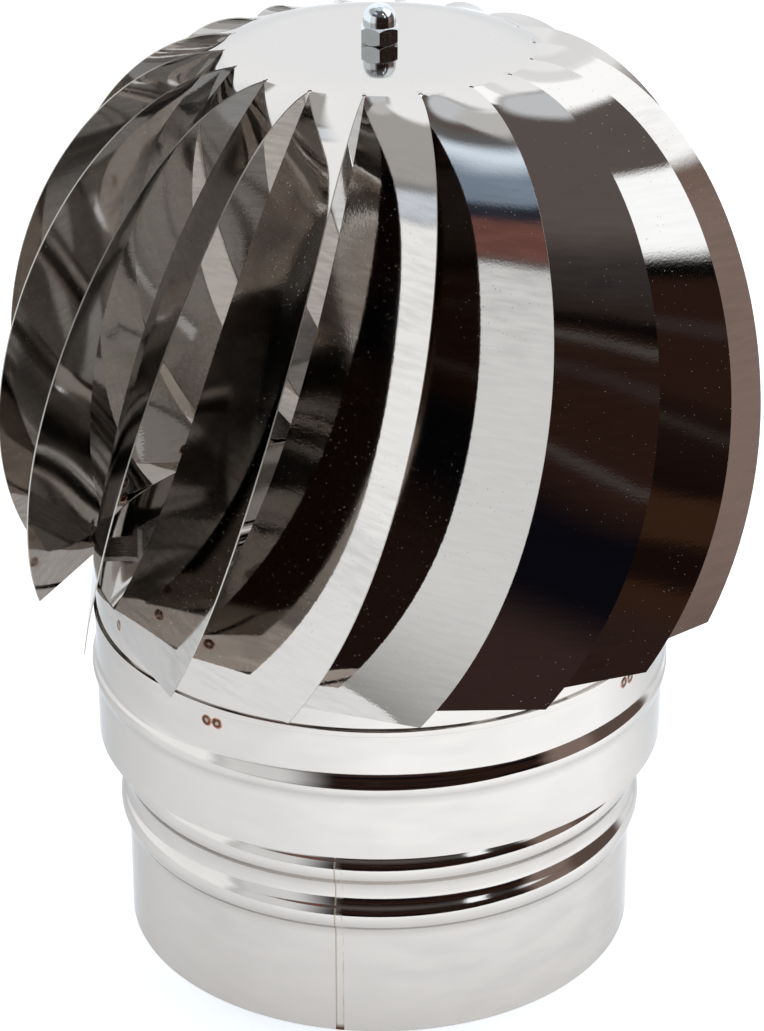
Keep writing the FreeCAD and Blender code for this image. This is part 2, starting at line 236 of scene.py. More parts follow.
def hemmed_profile():
    """Collar wall whose upper edge is folded over to a thicker rim."""
    profile = rolled_profile(
        SKIRT_RADIUS, SKIRT_BOTTOM, SKIRT_TOP, (SKIRT_BEAD,), SKIRT_BEAD_BEND, SKIRT_BEAD_RISE)
    top_start = profile.index((SKIRT_RADIUS, SKIRT_TOP - EDGE_ROUND))
    bend = SHEET / 2
    low = (SKIRT_RADIUS + bend, SKIRT_TOP - HEM_HEIGHT + bend)
    high = (SKIRT_RADIUS + bend, SKIRT_TOP - bend)
    fold = [(SKIRT_RADIUS, SKIRT_TOP - HEM_HEIGHT)]
    fold += arc_points(low, bend, -math.pi / 2, 0.0, FOLD_STEPS)
    fold += arc_points(high, bend, 0.0, math.pi / 2, FOLD_STEPS)
    return profile[:top_start] + fold + profile[top_start + 2:]


# Bladed head: the same curves as the solid, on a finer grid
def eased(share, late, power):
    """Share that grows evenly in part and late, by a power, in part."""
    return (1 - late) * share + late * share ** power


def smooth(share):
    """Smooth step from 0 to 1."""
    share = min(max(share, 0.0), 1.0)
    return share * share * (3 - 2 * share)


def outer_edge(share):
    """Radius, azimuth and height on a blade's outer edge, from the root to the tip."""
    start = math.pi / 2
    end = math.atan2(TIP_HEIGHT - EQUATOR, TIP_REACH)
    angle = start + (end - start) * share
    flat_part = abs(math.cos(angle) / REACH) ** FULLNESS
    steep_part = abs(math.sin(angle) / CROWN) ** FULLNESS
    distance = (flat_part + steep_part) ** (-1 / FULLNESS)
    azimuth = ROOT_HALF - TIP_SWEEP * eased(share, OUTER_LATE, OUTER_LATE_POWER)
    return SLIT_RADIUS + distance * math.cos(angle), azimuth, EQUATOR + distance * math.sin(angle)


def inner_edge(share):
    """Radius, azimuth and height on a blade's inner edge, from the root to the corner."""
    inset = (INNER_RADIUS - SLIT_RADIUS) * (1 - share) ** INNER_FALL
    azimuth = -ROOT_HALF - CORNER_SWEEP * eased(share, INNER_LATE, INNER_LATE_POWER)
    return INNER_RADIUS - inset, azimuth, RIM_HEIGHT - (RIM_HEIGHT - CORNER_HEIGHT) * share


def blade_point(share, across):
    """Middle of the sheet between the two edges: round the axis at the root, straight below."""
    inner = inner_edge(share)
    outer = outer_edge(share)
    straight = at_azimuth(*inner) * (1 - across) + at_azimuth(*outer) * across
    mixed = [a * (1 - across) + b * across for a, b in zip(inner, outer)]
    blend = smooth(share / ROOT_BLEND)
    return at_azimuth(*mixed) * (1 - blend) + straight * blend - UP * (SHEET / 2)


def blade_normal(share, across):
    """Outward normal of a blade, straight up at its root."""
    step = 0.01
    down = blade_point(min(share + step, 1.0), across) - blade_point(max(share - step, 0.0), across)
    side = blade_point(share, 1.0) - blade_point(share, 0.0)
    normal = side.cross(down)
    if normal.dot(blade_point(share, across)) < 0:
        normal = -normal
    normal.normalize()
    blend = smooth(share / ROOT_BLEND)
    return (UP * (1 - blend) + normal * blend).normalized()


def blade_ripple(number, share, across):
    """Slight waviness of the hand-bent sheet, inwards only, none at the root."""
    place = Vector((share * RIPPLE_ALONG, across * RIPPLE_ACROSS, number * RIPPLE_STEP))
    return RIPPLE_HEIGHT * (noise.noise(place) - 1) / 2 * smooth(share / ROOT_BLEND)


def slit_half(radius):
    """Half of the opening between two blades near the slit's round end."""
    beyond = abs(radius - SLIT_RADIUS)
    hole = math.sqrt(max(RELIEF_RADIUS ** 2 - beyond ** 2, 0.0))
    if radius < SLIT_RADIUS:
        return hole
    return max(hole, SLIT_WIDTH / 2)


def disc_rows():
    """Rings of one sector of the disc, from the shaft hole to the slits' ends."""
    border = SLIT_RADIUS - DISC_FLAT
    bend = (border ** 2 + DISC_DROP ** 2) / (2 * DISC_DROP)
    flat = [DISC_HOLE, *DISC_RINGS, DISC_FLAT]
    curved = [DISC_FLAT + border * k / BORDER_STEPS for k in range(1, BORDER_STEPS)]
    eye = [SLIT_RADIUS - RELIEF_RADIUS * share for share in EYE_SHARES]
    rows = []
    for radius in flat + curved + eye:
        beyond = max(radius - DISC_FLAT, 0.0)
        height = DISC_TOP - bend + math.sqrt(bend ** 2 - beyond ** 2)
        half = PITCH / 2 - math.degrees(slit_half(radius) / radius)
        row = []
        for column in range(BLADE_COLUMNS + 1):
            azimuth = half * (2 * column / BLADE_COLUMNS - 1)
            middle = at_azimuth(radius, azimuth, height - SHEET / 2)
            row.append((middle, UP))
        rows.append((radius, row))
    return rows


def blade_rows(number):
    """Rows of one blade from just past the slit's end to the tip, with the sheet's slight ripple."""
    root = ROOT_SHARES[-1]
    shares = list(ROOT_SHARES)
    shares += [root + (1 - root) * (k / BLADE_ROWS) ** ROW_SPACING for k in range(1, BLADE_ROWS + 1)]
    rows = []
    for share in shares:
        radius = outer_edge(share)[0]
        inset = (slit_half(radius) - SLIT_WIDTH / 2) / (2 * math.radians(ROOT_HALF) * radius)
        row = []
        for column in range(BLADE_COLUMNS + 1):
            across = inset + (1 - 2 * inset) * column / BLADE_COLUMNS
            normal = blade_normal(share, across)
            ripple = blade_ripple(number, share, across)
            row.append((blade_point(share, across) + normal * ripple, normal))
        rows.append((radius, row))
    return rows


def bladed_head(name):
    """One sheet: the disc and all its blades, closed at every edge."""
    builder = MeshBuilder()
    disc = disc_rows()
    for number in range(BLADE_COUNT):
        turn = Matrix.Rotation(math.radians(BLADE_TURN + number * PITCH), 3, "Z")
        rows = disc + blade_rows(number)
        outside = [[turn @ (p + n * (SHEET / 2)) for p, n in row] for _, row in rows]
        inside = [[turn @ (p - n * (SHEET / 2)) for p, n in row] for _, row in rows]
        builder.sheet(outside)
        builder.sheet(inside, flip=True)
        builder.sheet([inside[0], outside[0]])
        builder.sheet([outside[-1], inside[-1]], tone=1)
        first_open = next(k for k, row in enumerate(rows) if slit_half(row[0]) > 0) - 1
        builder.sheet([[o[0], i[0]] for o, i in zip(outside, inside)][first_open:], tone=1)
        builder.sheet([[i[-1], o[-1]] for o, i in zip(outside, inside)][first_open:], tone=1)
    return builder.piece(name)


# Welds
WELD_DEPTH = 0.1
SEAM_AZIMUTH = -8.6
SEAM_HALF = 1.6
# Places across the seam, as shares of its half width, and the height there
SEAM_SECTION = (
    (-1.0, -WELD_DEPTH), (-1.0, 0.0), (-0.75, 0.05), (-0.45, 0.06), (0.0, 0.05),
    (0.45, 0.06), (0.75, 0.05), (1.0, 0.0), (1.0, -WELD_DEPTH))
SPOT_RADIUS = 2.4
# Places from a spot's middle to its edge, as shares of its radius, and the height there
SPOT_PROFILE = (
    (0.0, 0.03), (0.3, 0.05), (0.5, 0.16), (0.64, 0.20), (0.78, 0.14), (1.0, 0.0), (1.0, -WELD_DEPTH))
SPOT_STEPS = 20
COLLAR_SPOT_TURNS = (-33.5, 56.5, 146.5, 236.5)
COLLAR_SPOT_HEIGHT = 130.6
COLLAR_SPOT_SPACING = 4.6
# Places on a blade: distance from the inner corner along the lower edge, distance above that edge,
# and the faces that show the mark (1 is outside)
BLADE_SPOTS = ((10.0, 5.0, (1, -1)), (19.0, 8.0, (-1,)), (13.0, 15.0, (-1,)))


def pipe_seam(name):
    """Lengthwise weld bead of the rolled pipe, following its wall."""
    builder = MeshBuilder()
    wall = wall_points(
        PIPE_RADIUS, 0.0, PIPE_HEIGHT, PIPE_BEADS, PIPE_BEAD_BEND, PIPE_BEAD_RISE, 0.0)
    grid = []
    for radius, height in wall:
        loop = []
        for side, raised in SEAM_SECTION + SEAM_SECTION[:1]:
            azimuth = SEAM_AZIMUTH + math.degrees(side * SEAM_HALF / radius)
            loop.append(at_azimuth(radius + raised, azimuth, height))
        grid.append(loop)
    builder.sheet(grid, flip=True)
    builder.face(*grid[0][:-1])
    builder.face(*reversed(grid[-1][:-1]))
    piece = builder.piece(name, SEAM_SHARP)
    side = piece.data.attributes.new("side", "FLOAT", "POINT")
    for vertex in piece.data.vertices:
        azimuth = math.atan2(vertex.co.x, -vertex.co.y) - math.radians(SEAM_AZIMUTH)
        side.data[vertex.index].value = azimuth * vertex.co.xy.length / MM / SEAM_HALF
    return piece


def spot_welds(name, places):
    """Round spot-weld marks, each a low ring on the sheet at a place with a normal."""
    builder = MeshBuilder()
    for centre, normal in places:
        side = normal.orthogonal().normalized()
        front = normal.cross(side)
        grid = []
        for step in range(SPOT_STEPS + 1):
            angle = 2 * math.pi * (step % SPOT_STEPS) / SPOT_STEPS
            outward = (side * math.cos(angle) + front * math.sin(angle)) * SPOT_RADIUS
            spoke = [centre + outward * share + normal * raised for share, raised in SPOT_PROFILE]
            grid.append(spoke + [centre - normal * WELD_DEPTH])
        builder.sheet(grid, flip=True)
    piece = builder.piece(name, SPOT_SHARP)
    ring = piece.data.attributes.new("ring", "FLOAT", "POINT")
    for vertex in piece.data.vertices:
        nearest = min((vertex.co / MM - centre).length for centre, _ in places)
        ring.data[vertex.index].value = nearest / SPOT_RADIUS
    return piece


def collar_spots():
    """Pairs of marks round the collar."""
    places = []
    for turn in COLLAR_SPOT_TURNS:
        for side in (-0.5, 0.5):
            azimuth = turn + math.degrees(side * COLLAR_SPOT_SPACING / SKIRT_RADIUS)
            place = at_azimuth(SKIRT_RADIUS, azimuth, COLLAR_SPOT_HEIGHT)
            places.append((place, at_azimuth(1.0, azimuth, 0.0)))
    return places


def blade_spots():
    """Marks on every blade near its inner lower corner."""
    width = (blade_point(1.0, 1.0) - blade_point(1.0, 0.0)).length
    height = RIM_HEIGHT - CORNER_HEIGHT
    places = []
    for number in range(BLADE_COUNT):
        turn = Matrix.Rotation(math.radians(BLADE_TURN + number * PITCH), 3, "Z")
        for along, above, faces in BLADE_SPOTS:
            share = 1.0 - above / height
            across = along / width
            normal = blade_normal(share, across)
            middle = blade_point(share, across) + normal * blade_ripple(number, share, across)
            for face in faces:
                place = middle + normal * (face * SHEET / 2)
                places.append((turn @ place, turn @ (normal * face)))
    return places


# Materials
def new_material(name):
    material = bpy.data.materials.new(name)
    material.use_nodes = True
    tree = material.node_tree
    return material, tree, tree.nodes["Principled BSDF"]


def link(tree, source, target):
    tree.links.new(source, target)


def noise_node(tree, vector, scale, detail, roughness=0.5):
    node = tree.nodes.new("ShaderNodeTexNoise")
    node.inputs["Scale"].default_value = scale
    node.inputs["Detail"].default_value = detail
    node.inputs["Roughness"].default_value = roughness
    link(tree, vector, node.inputs["Vector"])
    return node.outputs["Fac"]


def mapped(tree, value, low, high, to_low, to_high):
    """Value carried from one range to another and clamped."""
    node = tree.nodes.new("ShaderNodeMapRange")
    node.inputs["From Min"].default_value = low
    node.inputs["From Max"].default_value = high
    node.inputs["To Min"].default_value = to_low
    node.inputs["To Max"].default_value = to_high
    link(tree, value, node.inputs["Value"])
    return node.outputs["Result"]


def math_node(tree, operation, *values):
    node = tree.nodes.new("ShaderNodeMath")
    node.operation = operation
    for socket, value in zip(node.inputs, values):
        if isinstance(value, float):
            socket.default_value = value
        else:
            link(tree, value, socket)
    return node.outputs[0]


def mixed_colour(tree, factor, first, second):
    node = tree.nodes.new("ShaderNodeMix")
    node.data_type = "RGBA"
    link(tree, factor, node.inputs["Factor"])
    for socket, value in (("A", first), ("B", second)):
        target = next(s for s in node.inputs if s.name == socket and s.type == "RGBA")
        if isinstance(value, tuple):
            target.default_value = (*value, 1.0)
        else:
            link(tree, value, target)
    return next(s for s in node.outputs if s.type == "RGBA")


def colour_ramp(tree, factor, stops, interpolation="LINEAR"):
    """Colours and covers at places from 0 to 1, in order."""
    node = tree.nodes.new("ShaderNodeValToRGB")
    node.color_ramp.interpolation = interpolation
    elements = node.color_ramp.elements
    for element, (place, colour) in zip(elements, (stops[0], stops[-1])):
        element.position = place
        element.color = colour
    for place, colour in stops[1:-1]:
        elements.new(place).color = colour
    link(tree, factor, node.inputs["Fac"])
    return node


def scaled_coordinates(tree, scale=(1.0, 1.0, 1.0)):
    coordinates = tree.nodes.new("ShaderNodeTexCoord")
    mapping = tree.nodes.new("ShaderNodeMapping")
    mapping.inputs["Scale"].default_value = scale
    link(tree, coordinates.outputs["Object"], mapping.inputs["Vector"])
    return mapping.outputs["Vector"]


def bumped(tree, height, distance, strength=1.0, normal=None):
    node = tree.nodes.new("ShaderNodeBump")
    node.inputs["Strength"].default_value = strength
    node.inputs["Distance"].default_value = distance
    link(tree, height, node.inputs["Height"])
    if normal:
        link(tree, normal, node.inputs["Normal"])
    return node.outputs["Normal"]


STEEL = (0.58, 0.54, 0.505)
# Polished sheet: noise scales per metre, heights in metres
GRAIN_SCALE = 1300.0
FILM_SCALE = 14.0
DUST_SCALE = 430.0
DUST_PATCH_SCALE = 18.0
SCRATCH_HEIGHT = 0.000003
STREAKS_START, STREAKS_FULL = 0.346, 0.330
EDGE_TINT = (0.8, 0.8, 0.8, 1.0)


def polished_steel(name, colour, roughness, streak_scale, streak_depth, dustiness):
    """Mirror-finished stainless sheet with faint polishing streaks, grain, film and specks of dust."""
    material, tree, shader = new_material(name)
    plain = scaled_coordinates(tree)
    streaks = noise_node(tree, scaled_coordinates(tree, streak_scale), 1.0, 1.0, 0.6)
    grain = noise_node(tree, plain, GRAIN_SCALE, 0.0)
    film = noise_node(tree, plain, FILM_SCALE, 1.0)
    split = tree.nodes.new("ShaderNodeSeparateXYZ")
    link(tree, plain, split.inputs[0])
    below_disc = mapped(tree, split.outputs["Z"], STREAKS_START, STREAKS_FULL, 0.0, 1.0)
    worn = math_node(tree, "MULTIPLY", mapped(tree, film, 0.40, 0.60, 0.25, 1.0), below_disc)
    shade = math_node(tree, "MULTIPLY", mapped(tree, streaks, 0.35, 0.68, 0.0, 1.0), worn)
    darker = tuple(c * (1.0 - streak_depth) for c in colour)
    link(tree, mixed_colour(tree, shade, colour, darker), shader.inputs["Base Color"])
    shader.inputs["Specular Tint"].default_value = EDGE_TINT
    specks = tree.nodes.new("ShaderNodeTexVoronoi")
    specks.inputs["Scale"].default_value = DUST_SCALE
    link(tree, plain, specks.inputs["Vector"])
    dots = mapped(tree, specks.outputs["Distance"], 0.05, 0.10, 1.0, 0.0)
    patch_noise = noise_node(tree, plain, DUST_PATCH_SCALE, 1.0)
    patches = mapped(tree, patch_noise, 0.62 - dustiness, 0.80 - dustiness, 0.0, 1.0)
    dust = math_node(tree, "MULTIPLY", dots, patches)
    link(tree, mapped(tree, dust, 0.0, 1.0, 1.0, 0.6), shader.inputs["Metallic"])
    gloss = mapped(tree, film, 0.35, 0.7, roughness * 0.7, roughness * 1.5)
    link(tree, math_node(tree, "MULTIPLY_ADD", dust, 0.5, gloss), shader.inputs["Roughness"])
    streaked = bumped(tree, streaks, SCRATCH_HEIGHT)
    grained = bumped(tree, grain, SCRATCH_HEIGHT, normal=streaked)
    link(tree, grained, shader.inputs["Normal"])
    return material


MOTTLE_SHADE = 0.8


def plain_metal(name, colour, roughness, grain):
    """Working metal of inner pieces: mottled, with fine grain."""
    material, tree, shader = new_material(name)
    vector = scaled_coordinates(tree)
    mottle = noise_node(tree, vector, grain, 5.0)
    darker = tuple(c * MOTTLE_SHADE for c in colour)
    link(tree, mixed_colour(tree, mottle, darker, colour), shader.inputs["Base Color"])
    shader.inputs["Metallic"].default_value = 1.0
    fine = noise_node(tree, vector, grain * 6, 2.0)
    link(tree, mapped(tree, fine, 0.3, 0.7, roughness * 0.8, roughness * 1.25), shader.inputs["Roughness"])
    link(tree, bumped(tree, fine, 0.0002, 0.08), shader.inputs["Normal"])
    return material


NYLON_DARK = (0.66, 0.62, 0.52)
NYLON_LIGHT = (0.75, 0.72, 0.62)


def cage_plastic(name):
    """Moulded plastic of the ball cages, faintly mottled."""
    material, tree, shader = new_material(name)
    vector = scaled_coordinates(tree)
    mottle = noise_node(tree, vector, 900.0, 3.0)
    colour = mixed_colour(tree, mottle, NYLON_DARK, NYLON_LIGHT)
    link(tree, colour, shader.inputs["Base Color"])
    link(tree, mapped(tree, mottle, 0.3, 0.7, 0.4, 0.55), shader.inputs["Roughness"])
    return material


SEAM_BROWN = (0.30, 0.22, 0.14)
SEAM_BURNT = (0.10, 0.05, 0.03)


def weld_bead(name):
    """Pipe's seam: bright in the middle, with a brown line along each side, burnt at its lower end."""
    material, tree, shader = new_material(name)
    vector = scaled_coordinates(tree)
    side = tree.nodes.new("ShaderNodeAttribute")
    side.attribute_name = "side"
    broken = mapped(tree, noise_node(tree, vector, 90.0, 4.0), 0.42, 0.62, 0.0, 1.0)
    left = mapped(tree, side.outputs["Fac"], -0.95, -0.5, 0.85, 0.0)
    right = math_node(tree, "MULTIPLY", mapped(tree, side.outputs["Fac"], 0.55, 0.95, 0.0, 0.6), broken)
    lines = math_node(tree, "MAXIMUM", left, right)
    colour = mixed_colour(tree, lines, STEEL, SEAM_BROWN)
    split = tree.nodes.new("ShaderNodeSeparateXYZ")
    link(tree, vector, split.inputs[0])
    burnt = mapped(tree, split.outputs["Z"], 0.001, 0.003, 1.0, 0.0)
    link(tree, mixed_colour(tree, burnt, colour, SEAM_BURNT), shader.inputs["Base Color"])
    shader.inputs["Metallic"].default_value = 1.0
    scales = noise_node(tree, scaled_coordinates(tree, (1.0, 1.0, 5.0)), 160.0, 2.0)
    link(tree, mapped(tree, scales, 0.3, 0.7, 0.10, 0.22), shader.inputs["Roughness"])
    link(tree, bumped(tree, scales, 0.0003, 0.12), shader.inputs["Normal"])
    return material


# Ring position from the middle to the edge, and the oxide's colour there
SPOT_TINTS = (
    (0.0, (0.46, 0.40, 0.36)),
    (0.30, (0.30, 0.22, 0.18)),
    (0.45, (0.06, 0.03, 0.02)),
    (0.66, (0.10, 0.04, 0.025)),
    (0.84, (0.36, 0.15, 0.09)),
    (1.0, (0.56, 0.46, 0.38)),
)
SPOT_RAGGED = 0.09


def weld_spot(name):
    """Oxide rings round a spot weld."""
    material, tree, shader = new_material(name)
    ring = tree.nodes.new("ShaderNodeAttribute")
    ring.attribute_name = "ring"
    vector = scaled_coordinates(tree)
    ragged = mapped(tree, noise_node(tree, vector, 900.0, 3.0), 0.3, 0.7, -SPOT_RAGGED, SPOT_RAGGED)
    place = math_node(tree, "ADD", ring.outputs["Fac"], ragged)
    ramp = colour_ramp(tree, place, [(spot, (*colour, 1.0)) for spot, colour in SPOT_TINTS])
    link(tree, ramp.outputs["Color"], shader.inputs["Base Color"])
    shader.inputs["Metallic"].default_value = 0.9
    gloss = mapped(tree, ragged, -SPOT_RAGGED, SPOT_RAGGED, 0.12, 0.26)
    link(tree, gloss, shader.inputs["Roughness"])
    return material


head_steel = polished_steel(
    "head_steel", STEEL, roughness=0.045, streak_scale=(70.0, 70.0, 520.0), streak_depth=0.17, dustiness=0.24)
rolled_steel = polished_steel(
    "rolled_steel", STEEL, roughness=0.06, streak_scale=(40.0, 40.0, 130.0), streak_depth=0.07, dustiness=0.0)
strip_steel = plain_metal("strip_steel", (0.62, 0.61, 0.60), roughness=0.28, grain=90.0)
zinc = plain_metal("zinc", (0.66, 0.69, 0.70), roughness=0.10, grain=160.0)
bearing_steel = plain_metal("bearing_steel", (0.66, 0.66, 0.67), roughness=0.12, grain=200.0)
black_oxide = plain_metal("black_oxide", (0.08, 0.075, 0.07), roughness=0.35, grain=200.0)
cut_edge = plain_metal("cut_edge", (0.60, 0.56, 0.51), roughness=0.45, grain=300.0)
nylon = cage_plastic("nylon")
seam_tint = weld_bead("seam_tint")
spot_tint = weld_spot("spot_tint")

# Sheet pieces
head = bladed_head("bladed_head")
finish_piece(head, head_steel, "rotor", "polished_stainless", "rotor_head")
head.data.materials.append(cut_edge)
pipe = lathe("pipe_wall", rolled_profile(
    PIPE_RADIUS, 0.0, PIPE_HEIGHT, PIPE_BEADS, PIPE_BEAD_BEND, PIPE_BEAD_RISE))
finish_piece(pipe, rolled_steel, "base", "polished_stainless", "flue_pipe")
collar = lathe("collar_wall", hemmed_profile())
finish_piece(collar, rolled_steel, "rotor", "polished_stainless", "skirt")
hoop = lathe("hoop_band", rolled_profile(HOOP_RADIUS, HOOP_BOTTOM, HOOP_TOP))
finish_piece(hoop, rolled_steel, "rotor", "polished_stainless", "blade_ring")

finish_piece(pipe_seam("pipe_seam"), seam_tint, "base", "polished_stainless")
finish_piece(spot_welds("collar_spots", collar_spots()), spot_tint, "rotor", "polished_stainless")
finish_piece(spot_welds("blade_spots", blade_spots()), spot_tint, "rotor", "polished_stainless")

# The other solids keep their own meshes
SLOT_MATERIALS = {
    "polished_stainless": rolled_steel,
    "stainless_strip": strip_steel,
    "zinc_steel": zinc,
    "bearing_steel": bearing_steel,
    "spring_steel": black_oxide,
    "cage_plastic": nylon,
}
for part in frame["record"]["subparts"]:
    mesh = nodes[part["node"]].data
    mesh.materials.clear()
    mesh.materials.append(SLOT_MATERIALS[part["material_slot"]])
    for polygon in mesh.polygons:
        polygon.use_smooth = True
    mesh.set_sharp_from_angle(angle=math.radians(SOLID_SHARP))


# Studio: white floor sheet, white walls left and behind, dark room to the front right.
# Angles are in degrees; azimuth 0 is the camera's side and 90 is the right.
def smooth_step(tree, value, start, end):
    """0 at the start and 1 at the end, smooth between."""
    node = tree.nodes.new("ShaderNodeMapRange")
    node.interpolation_type = "SMOOTHSTEP"
    node.inputs["From Min"].default_value = start
    node.inputs["From Max"].default_value = end
    link(tree, value, node.inputs["Value"])
    return node.outputs["Result"]


def band(tree, value, low, high, soft):
    """1 between two angles, with soft ends."""
    rising = smooth_step(tree, value, low - soft, low + soft)
    falling = smooth_step(tree, value, high + soft, high - soft)
    return math_node(tree, "MULTIPLY", rising, falling)


def up_to(high, soft, colour):
    """Stops of a wall that ends at an elevation, with a soft end."""
    return (high - soft, colour, 1.0), (high + soft, colour, 0.0)


def strip(low, high, soft, colour):
    """Stops of a wall between two elevations, with soft ends."""
    return ((low - soft, colour, 0.0), (low + soft, colour, 1.0), *up_to(high, soft, colour))


NAVY = (0.004, 0.004, 0.007)
BROWN = (0.029, 0.013, 0.009)
LIGHT_BROWN = (0.042, 0.028, 0.026)
DARK_BROWN = (0.011, 0.005, 0.004)
UMBER = (0.016, 0.008, 0.006)
RUST = (0.046, 0.021, 0.011)
BLACK = (0.004, 0.003, 0.003)
TAUPE = (0.140, 0.115, 0.108)
RED = (0.21, 0.09, 0.075)
SLATE = (0.030, 0.031, 0.045)
BLUE = (0.27, 0.34, 0.43)
COOL_WHITE = (0.83, 0.88, 0.96)
WARM_GREY = (0.50, 0.48, 0.465)
GREY = (0.68, 0.68, 0.67)
PALE = (0.90, 0.90, 0.90)
WHITE = (1.22, 1.22, 1.23)
BRIGHT = (1.45, 1.46, 1.48)
# Room behind the camera and the ceiling, going up: elevation and colour
ROOM = (
    (-9.0, (0.045, 0.025, 0.022)),
    (-4.5, NAVY),
    (-0.5, NAVY),
    (3.5, BROWN),
    (12.9, BROWN),
    (13.6, LIGHT_BROWN),
    (14.5, LIGHT_BROWN),
    (15.2, BROWN),
    (18.7, BROWN),
    (20.3, BLACK),
    (20.8, BLACK),
    (22.3, (0.034, 0.024, 0.021)),
    (26.0, (0.045, 0.037, 0.036)),
    (28.0, (0.050, 0.041, 0.040)),
    (37.0, TAUPE),
    (70.0, TAUPE),
    (78.0, (0.75, 0.77, 0.80)),
)
BACK_STOPS = ((7.0, (1.10, 1.10, 1.11), 1.0), (19.0, WHITE, 1.0), *up_to(72.0, 5.0, WHITE))
# Walls: azimuth from, to and softness, then elevation, colour and cover going up.
# Later walls stand before earlier ones.
WALLS = {
    "right": (64.5, 123.0, 5.0, (
        (15.0, (0.29, 0.21, 0.18), 1.0),
        (20.8, (0.235, 0.165, 0.135), 1.0),
        (24.3, BRIGHT, 1.0),
        *up_to(73.0, 3.0, BRIGHT))),
    "right_low": (86.0, 123.0, 4.0, up_to(17.9, 2.9, (0.14, 0.097, 0.082))),
    "front_left": (-66.0, -27.0, 11.0, (
        (-22.0, (0.30, 0.29, 0.28), 1.0),
        (-4.0, PALE, 1.0),
        *up_to(29.5, 1.0, PALE))),
    "front_left_upper": (-70.0, -25.0, 4.0, (
        (29.7, RED, 0.0),
        (31.3, RED, 1.0),
        (36.7, RED, 1.0),
        (38.6, SLATE, 1.0),
        (40.0, SLATE, 1.0),
        (42.2, BLUE, 1.0),
        (47.0, BLUE, 1.0),
        (54.5, (0.95, 1.08, 1.23), 1.0),
        (61.0, (0.16, 0.16, 0.17), 1.0),
        *up_to(66.0, 1.5, (0.15, 0.145, 0.14)))),
    "left": (-200.0, -64.0, 4.0, up_to(28.5, 1.0, (1.20, 1.20, 1.20))),
    "left_upper": (-140.0, -68.0, 4.0, (
        (27.3, COOL_WHITE, 0.0),
        (29.7, COOL_WHITE, 1.0),
        (32.8, COOL_WHITE, 1.0),
        (34.5, (0.33, 0.33, 0.33), 1.0),
        (36.5, WARM_GREY, 1.0),
        (62.5, WARM_GREY, 1.0),
        (67.5, GREY, 1.0),
        *up_to(80.0, 3.0, GREY))),
    "back_right": (120.0, 200.0, 5.0, BACK_STOPS),
    "back_left": (-200.0, -130.0, 6.0, BACK_STOPS),
    "back_corner": (124.0, 152.0, 6.0, up_to(72.0, 5.0, (1.05, 1.05, 1.06))),
    "low_strip": (-7.5, -4.5, 1.0, strip(4.35, 5.25, 0.25, (0.075, 0.062, 0.058))),
    "high_strip": (-3.5, 0.5, 1.2, strip(17.75, 18.65, 0.25, (0.10, 0.092, 0.088))),
    "brown_panel": (22.0, 42.0, 2.0, (
        (-11.0, (0.034, 0.018, 0.015), 1.0),
        (-7.4, (0.040, 0.018, 0.010), 1.0),
        (-6.4, DARK_BROWN, 1.0),
        (-4.4, DARK_BROWN, 1.0),
        (-3.6, RUST, 1.0),
        (-0.9, RUST, 1.0),
        (0.1, DARK_BROWN, 1.0),
        (4.0, UMBER, 1.0),
        (4.6, (0.040, 0.030, 0.027), 1.0),
        *up_to(6.7, 1.3, UMBER))),
    "window": (38.0, 47.0, 1.2, strip(22.5, 37.5, 1.2, (1.45, 1.47, 1.50))),
    "lamp": (31.0, 40.0, 1.5, strip(44.0, 51.0, 1.5, (5.0, 5.0, 5.0))),
}
# Elevations at the ends of the walls' colour ramps
LOWEST, HIGHEST = -24.0, 84.0
# Cool lamps, so that the warm steel looks neutral after one reflection
LAMP_TINT = (1.138, 1.204, 1.257)


def lamp_lit(colour):
    return tuple(value * tint for value, tint in zip(colour, LAMP_TINT))


def wall_colours(tree, above, stops):
    """Colour and cover of a wall at an elevation."""
    placed = []
    for elevation, colour, cover in stops:
        placed.append(((elevation - LOWEST) / (HIGHEST - LOWEST), (*lamp_lit(colour), cover)))
    ramp = colour_ramp(tree, above, placed, "EASE")
    return ramp.outputs["Color"], ramp.outputs["Alpha"]


def studio_world():
    world = bpy.data.worlds.new("studio")
    world.use_nodes = True
    bpy.context.scene.world = world
    tree = world.node_tree
    background = tree.nodes["Background"]
    coordinates = tree.nodes.new("ShaderNodeTexCoord")
    split = tree.nodes.new("ShaderNodeSeparateXYZ")
    link(tree, coordinates.outputs["Generated"], split.inputs[0])
    front = math_node(tree, "MULTIPLY", split.outputs["Y"], -1.0)
    around = math_node(tree, "DEGREES", math_node(tree, "ARCTAN2", split.outputs["X"], front))
    elevation = math_node(tree, "DEGREES", math_node(tree, "ARCSINE", split.outputs["Z"]))
    above = mapped(tree, elevation, LOWEST, HIGHEST, 0.0, 1.0)
    seen, _ = wall_colours(tree, above, [(*stop, 1.0) for stop in ROOM])
    for az_from, az_to, az_soft, stops in WALLS.values():
        colour, cover = wall_colours(tree, above, stops)
        across = band(tree, around, az_from, az_to, az_soft)
        seen = mixed_colour(tree, math_node(tree, "MULTIPLY", across, cover), seen, colour)
    path = tree.nodes.new("ShaderNodeLightPath")
    seen = mixed_colour(tree, path.outputs["Is Camera Ray"], seen, (1.0, 1.0, 1.0))
    link(tree, seen, background.inputs["Color"])


FLOOR_LEFT, FLOOR_RIGHT, FLOOR_FRONT, FLOOR_BACK = -3.0, 0.45, -0.42, 3.0
FLOOR_COLOUR = (0.9, 0.9, 0.9, 1.0)
FLOOR_ROUGHNESS = 0.9
FLOOR_TINT = (0.95, 1.0, 1.045, 1.0)
FLOOR_GLOW = 0.6
